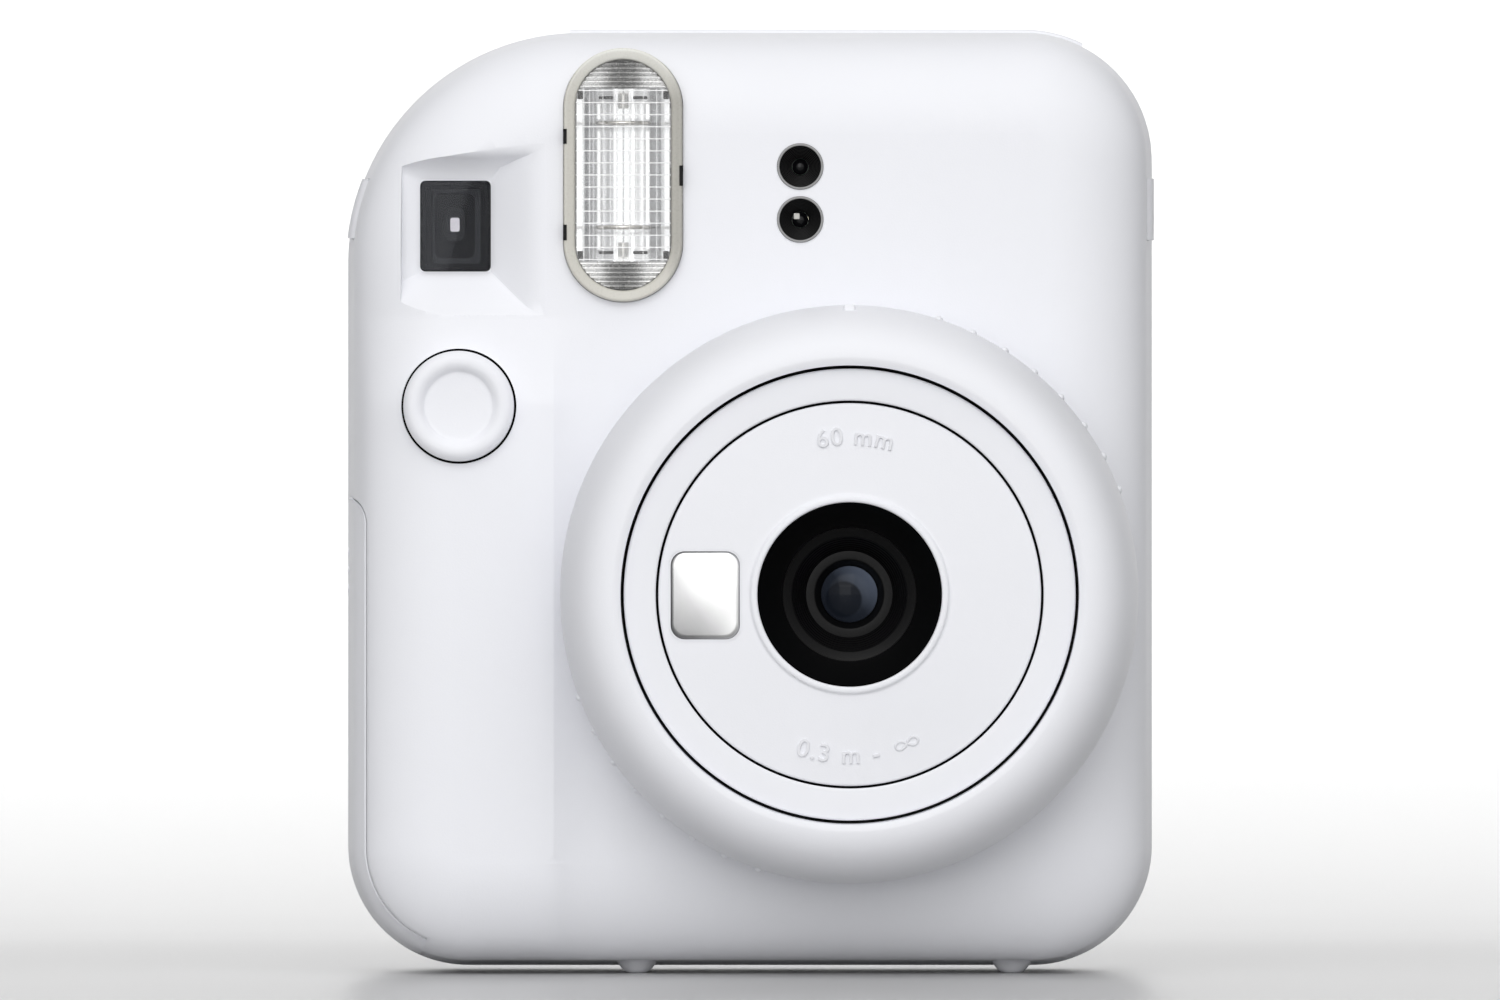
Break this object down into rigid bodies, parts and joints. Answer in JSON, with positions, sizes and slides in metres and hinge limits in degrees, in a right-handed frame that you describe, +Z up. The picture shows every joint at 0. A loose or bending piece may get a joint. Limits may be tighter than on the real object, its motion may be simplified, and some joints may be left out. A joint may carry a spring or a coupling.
{
  "type": "instant camera",
  "caption": "Instant camera with a round twist-out lens, upright flash, selfie mirror, viewfinder, shutter button, hinged film door and a slot on top for the prints.",
  "frame": {"origin": "under the middle of the camera, on the plane of its four feet", "axes": "+X to the right seen from the front, -Y out of the lens, +Z up"},
  "size_m": [0.104, 0.0666, 0.122],
  "materials": {
    "shell_white": "fine matt texture",
    "moulding_black": "matt black",
    "steel": "brushed",
    "clear": "polished",
    "bezel_champagne": "pale champagne satin",
    "reflector_chrome": "bright",
    "mirror_silver": "polished convex",
    "board_green": "solder mask",
    "capacitor_sleeve": "shrink sleeve",
    "cell_case": "printed foil",
    "pinion_brass": "machined",
    "gear_nylon": "moulded",
    "pack_black": "moulded",
    "dial_ivory": "moulded"
  },
  "bodies": {
    "camera_body": {"front_shell": "shell_white", "rear_shell": "shell_white", "exit_cover": "shell_white", "strap_lug_left": "shell_white", "strap_lug_right": "shell_white", "viewfinder_housing": "moulding_black", "sensor_barrel_upper": "moulding_black", "sensor_barrel_lower": "moulding_black", "chassis": "moulding_black", "battery_holder": "moulding_black", "lens_mount": "moulding_black", "shutter_switch": "moulding_black", "battery_contact_plate": "steel", "battery_spring_front": "steel", "battery_spring_rear": "steel", "shutter_spring": "steel", "idler_axle": "steel", "eject_motor": "steel", "roller_bracket": "steel", "door_hinge_pin": "steel", "housing_screw_left": "steel", "housing_screw_right": "steel", "flash_window": "clear", "flash_tube": "clear", "viewfinder_window": "clear", "viewfinder_eyepiece": "clear", "sensor_lens_upper": "clear", "sensor_lens_lower": "clear", "counter_window": "clear", "flash_bezel": "bezel_champagne", "flash_reflector": "reflector_chrome", "circuit_board": "board_green", "flash_capacitor": "capacitor_sleeve", "battery_front": "cell_case", "battery_rear": "cell_case", "film_pack": "pack_black"},
    "dial": {"lens_ring": "shell_white"},
    "mid_tube": {"lens_mid_tube": "shell_white"},
    "lens_head": {"lens_front_panel": "shell_white", "lens_cone": "moulding_black", "lens_cell": "moulding_black", "front_element": "clear", "rear_element": "clear", "selfie_mirror": "mirror_silver", "shutter_plate": "moulding_black"},
    "shutter_leaf": {"shutter_blade": "moulding_black"},
    "release_button": {"shutter_button": "shell_white"},
    "back_door": {"film_door": "shell_white", "film_window": "clear", "pressure_plate": "steel"},
    "latch": {"door_latch": "shell_white"},
    "cell_cover": {"battery_cover": "shell_white"},
    "print_flap": {"exit_flap": "moulding_black"},
    "lower_roller": {"drive_roller": "steel", "roller_gear": "gear_nylon"},
    "upper_roller": {"pressure_roller": "steel"},
    "pinion": {"motor_pinion": "pinion_brass"},
    "idler": {"idler_gear": "gear_nylon"},
    "counter": {"counter_dial": "dial_ivory"}
  },
  "joints": [
    {"name": "lens_ring_turn", "type": "hinge", "parent": "camera_body", "child": "dial", "pos_m": [0.0127, -0.02, 0.049], "axis": [0, -1, 0], "range_deg": [0, 75]},
    {"name": "mid_tube_slide", "type": "slide", "parent": "camera_body", "child": "mid_tube", "axis": [0, -1, 0], "range_m": [0, 0.008]},
    {"name": "lens_head_slide", "type": "slide", "parent": "mid_tube", "child": "lens_head", "axis": [0, -1, 0], "range_m": [0, 0.006]},
    {"name": "shutter_leaf_swing", "type": "hinge", "parent": "lens_head", "child": "shutter_leaf", "pos_m": [0.0209, -0.0123, 0.046], "axis": [0, 1, 0], "range_deg": [0, 40], "stiffness_Nm_per_rad": 0.001, "springref_deg": -5.73},
    {"name": "shutter_button_press", "type": "slide", "parent": "camera_body", "child": "release_button", "axis": [0, 1, 0], "range_m": [0, 0.0012], "stiffness_N_per_m": 1200, "springref_m": -0.0004, "deforming": ["shutter_spring"]},
    {"name": "film_door_swing", "type": "hinge", "parent": "camera_body", "child": "back_door", "pos_m": [0.0512, 0.0244, 0.06], "axis": [0, 0, -1], "range_deg": [0, 95]},
    {"name": "door_latch_slide", "type": "slide", "parent": "back_door", "child": "latch", "axis": [1, 0, 0], "range_m": [0, 0.002], "stiffness_N_per_m": 300, "springref_m": -0.0005},
    {"name": "battery_cover_off", "type": "slide", "parent": "camera_body", "child": "cell_cover", "axis": [-0.5, 0, -0.866], "range_m": [0, 0.03]},
    {"name": "exit_flap_lift", "type": "hinge", "parent": "camera_body", "child": "print_flap", "pos_m": [0.0127, 0.0135, 0.1206], "axis": [1, 0, 0], "range_deg": [0, 80], "stiffness_Nm_per_rad": 0.0003, "springref_deg": -5.73},
    {"name": "drive_roller_spin", "type": "hinge", "parent": "camera_body", "child": "lower_roller", "pos_m": [0.0127, 0.0111, 0.108], "axis": [1, 0, 0], "continuous": true},
    {"name": "pressure_roller_spin", "type": "hinge", "parent": "camera_body", "child": "upper_roller", "pos_m": [0.0127, 0.0179, 0.108], "axis": [1, 0, 0], "continuous": true},
    {"name": "idler_spin", "type": "hinge", "parent": "camera_body", "child": "idler", "pos_m": [-0.0235, 0.01012, 0.09423], "axis": [1, 0, 0], "continuous": true},
    {"name": "pinion_spin", "type": "hinge", "parent": "camera_body", "child": "pinion", "pos_m": [-0.0235, 0.018, 0.0844], "axis": [1, 0, 0], "continuous": true},
    {"name": "film_counter_turn", "type": "hinge", "parent": "camera_body", "child": "counter", "pos_m": [-0.036, 0.028, 0.04], "axis": [0, 1, 0], "range_deg": [0, 300]}
  ],
  "couplings": [
    {"joint": "mid_tube_slide", "follows": "lens_ring_turn", "m_per_rad": 0.0061109},
    {"joint": "lens_head_slide", "follows": "lens_ring_turn", "m_per_rad": 0.0045832},
    {"joint": "pressure_roller_spin", "follows": "drive_roller_spin", "ratio": -1},
    {"joint": "idler_spin", "follows": "drive_roller_spin", "ratio": -0.53333},
    {"joint": "pinion_spin", "follows": "drive_roller_spin", "ratio": 1.3333}
  ]
}
